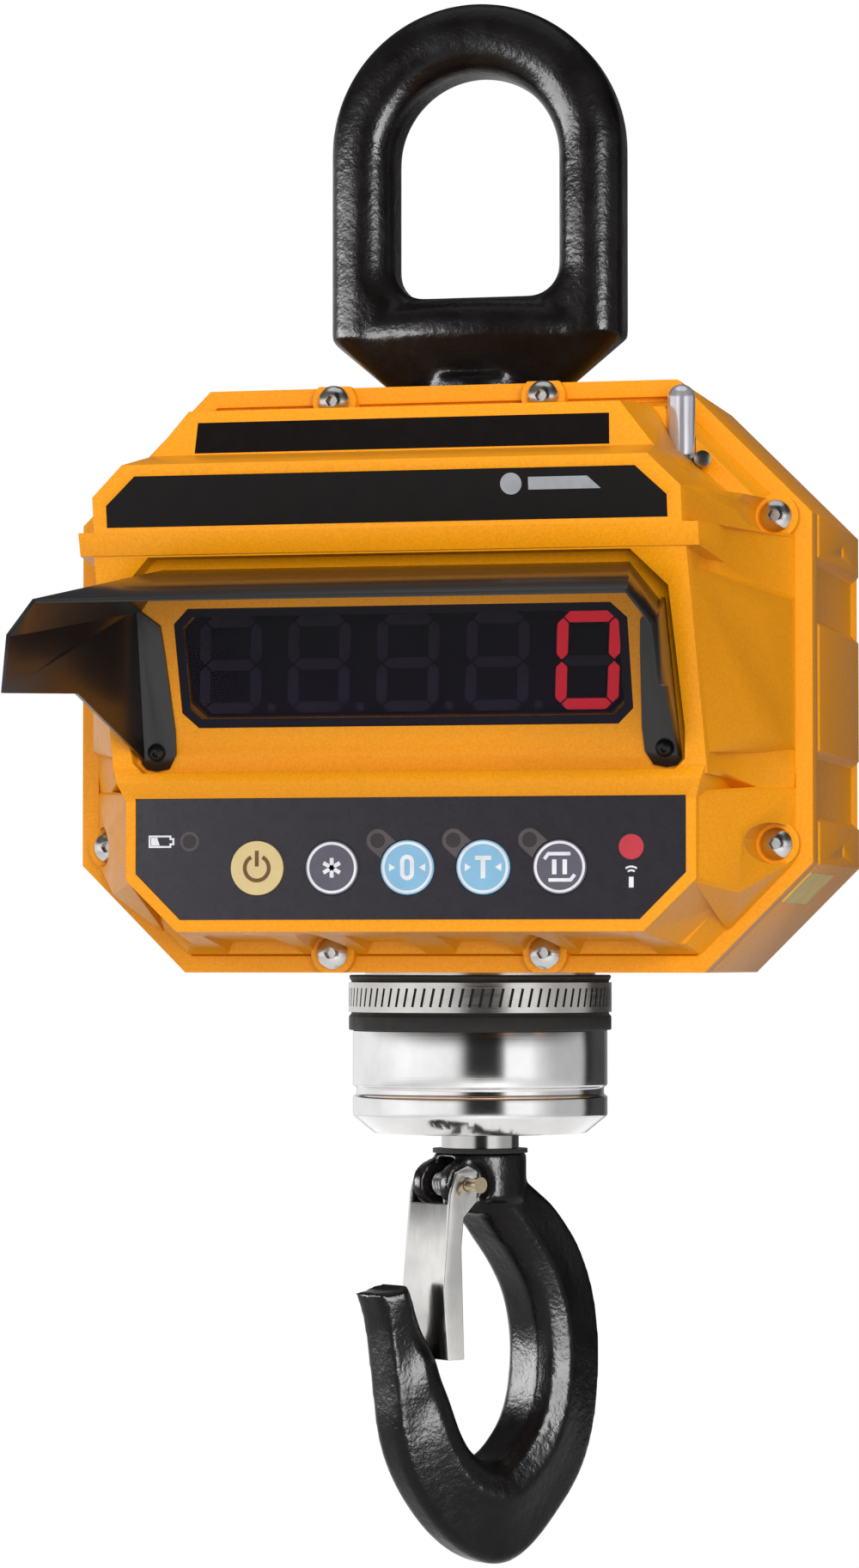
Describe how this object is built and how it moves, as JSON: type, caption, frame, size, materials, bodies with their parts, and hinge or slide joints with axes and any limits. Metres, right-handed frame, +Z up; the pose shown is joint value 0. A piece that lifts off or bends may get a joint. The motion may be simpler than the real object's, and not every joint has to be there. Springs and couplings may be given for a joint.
{
  "type": "crane scale",
  "caption": "Hanging crane scale: a load ring over a faceted case with a hooded digit display and keypad, and a swivel hook with a sprung latch below.",
  "frame": {"origin": "the point inside the load ring where the crane's hook bears", "axes": "+Z up along the load axis, -Y towards the reader of the display, +X to the reader's right"},
  "size_m": [0.29, 0.3574, 0.6256],
  "materials": {
    "forged_black": "gloss black paint over a pebbled forging",
    "case_paint": "orange powder coat with a fine grain over die-cast alloy",
    "cell_steel": "ground",
    "turned_steel": "turned and polished stainless",
    "bright_steel": "bright",
    "band_steel": "rolled stainless strip",
    "pressed_steel": "pressed stainless sheet",
    "spring_steel": "drawn wire",
    "pin_brass": "plated",
    "bush_bronze": "turned",
    "black_screw": "black oxide",
    "rubber": "matt",
    "panel_black": "satin printed film",
    "mark_grey": "printed",
    "smoked_window": "smoked acrylic",
    "digit_black": "matt",
    "segment_off": "unlit",
    "segment_on": "lit red",
    "circuit_board": "solder mask",
    "keypad_film": "satin film",
    "key_gold": "satin",
    "key_grey": "satin",
    "key_blue": "satin",
    "lamp_grey": "clear window",
    "receiver_red": "clear red",
    "hood_black": "satin black",
    "clear_tube": "clear plastic",
    "sticker_yellow": "printed",
    "plate_silver": "brushed",
    "pack_plastic": "moulded",
    "cell_wrap": "shrink wrap",
    "contact_gold": "plated",
    "gasket_black": "matt"
  },
  "bodies": {
    "scale": {"crane_eye": "forged_black", "load_cell": "cell_steel", "ring_lock_pin": "cell_steel", "strain_gauges": "circuit_board", "top_seal": "rubber", "cell_brackets": "plate_silver", "brand_strip": "panel_black", "upper_panel": "panel_black", "panel_marks": "mark_grey", "front_cover": "case_paint", "rear_housing": "case_paint", "case_gasket": "gasket_black", "case_screws": "bright_steel", "hood_screws": "black_screw", "side_screws": "black_screw", "receiver_tube": "clear_tube", "tube_fitting": "bright_steel", "side_label": "sticker_yellow", "display_window": "smoked_window", "digit_modules": "digit_black", "display_board": "circuit_board", "lit_segments": "segment_on", "unlit_segments": "segment_off", "keypad_overlay": "keypad_film", "lamp_windows": "lamp_grey", "receiver_window": "receiver_red", "key_switches": "circuit_board", "keypad_board": "circuit_board", "main_board": "circuit_board", "sun_hood": "hood_black", "boot_sleeve": "rubber", "clamp_band": "band_steel", "clamp_screw": "bright_steel", "load_housing": "turned_steel", "housing_cap": "turned_steel", "neck_bush": "bush_bronze", "bearing_races": "bright_steel", "bearing_balls": "bright_steel", "battery_bay": "pack_plastic", "bay_contacts": "contact_gold", "data_plate": "plate_silver"},
    "swivel_hook": {"hook": "forged_black", "hook_nut": "cell_steel", "dust_washer": "rubber", "latch_pin": "pin_brass", "latch_spring": "spring_steel"},
    "hook_latch": {"latch": "pressed_steel"},
    "power_key": {"key_power": "key_gold"},
    "function_key": {"key_function": "key_grey"},
    "zero_key": {"key_zero": "key_blue"},
    "tare_key": {"key_tare": "key_blue"},
    "hold_key": {"key_hold": "key_grey"},
    "battery_pack": {"battery_cover": "case_paint", "battery_case": "pack_plastic", "battery_cells": "cell_wrap", "pack_contacts": "contact_gold", "battery_handle": "pack_plastic", "cover_seal": "gasket_black"},
    "left_knob": {"cover_knob_left": "bright_steel"},
    "right_knob": {"cover_knob_right": "bright_steel"}
  },
  "joints": [
    {"name": "hook_swivel", "type": "hinge", "parent": "scale", "child": "swivel_hook", "pos_m": [0, 0, -0.404], "axis": [0, 0, 1], "continuous": true},
    {"name": "latch_swing", "type": "hinge", "parent": "swivel_hook", "child": "hook_latch", "pos_m": [-0.01049, -0.01338, -0.445], "axis": [0.7869, -0.617, 0], "range_deg": [0, 24], "stiffness_Nm_per_rad": 0.12, "springref_deg": -28.65},
    {"name": "power_key_press", "type": "slide", "parent": "scale", "child": "power_key", "axis": [0, 1, 0], "range_m": [0, 0.0004], "stiffness_N_per_m": 600, "springref_m": -0.0015},
    {"name": "function_key_press", "type": "slide", "parent": "scale", "child": "function_key", "axis": [0, 1, 0], "range_m": [0, 0.0004], "stiffness_N_per_m": 600, "springref_m": -0.0015},
    {"name": "zero_key_press", "type": "slide", "parent": "scale", "child": "zero_key", "axis": [0, 1, 0], "range_m": [0, 0.0004], "stiffness_N_per_m": 600, "springref_m": -0.0015},
    {"name": "tare_key_press", "type": "slide", "parent": "scale", "child": "tare_key", "axis": [0, 1, 0], "range_m": [0, 0.0004], "stiffness_N_per_m": 600, "springref_m": -0.0015},
    {"name": "hold_key_press", "type": "slide", "parent": "scale", "child": "hold_key", "axis": [0, 1, 0], "range_m": [0, 0.0004], "stiffness_N_per_m": 600, "springref_m": -0.0015},
    {"name": "battery_slide", "type": "slide", "parent": "scale", "child": "battery_pack", "axis": [0, 1, 0], "range_m": [0, 0.045]},
    {"name": "left_knob_turn", "type": "hinge", "parent": "battery_pack", "child": "left_knob", "pos_m": [-0.08814, 0.0802, -0.264], "axis": [0, 1, 0], "range_deg": [0, 90]},
    {"name": "right_knob_turn", "type": "hinge", "parent": "battery_pack", "child": "right_knob", "pos_m": [0.08814, 0.0802, -0.264], "axis": [0, 1, 0], "range_deg": [0, 90]}
  ]
}
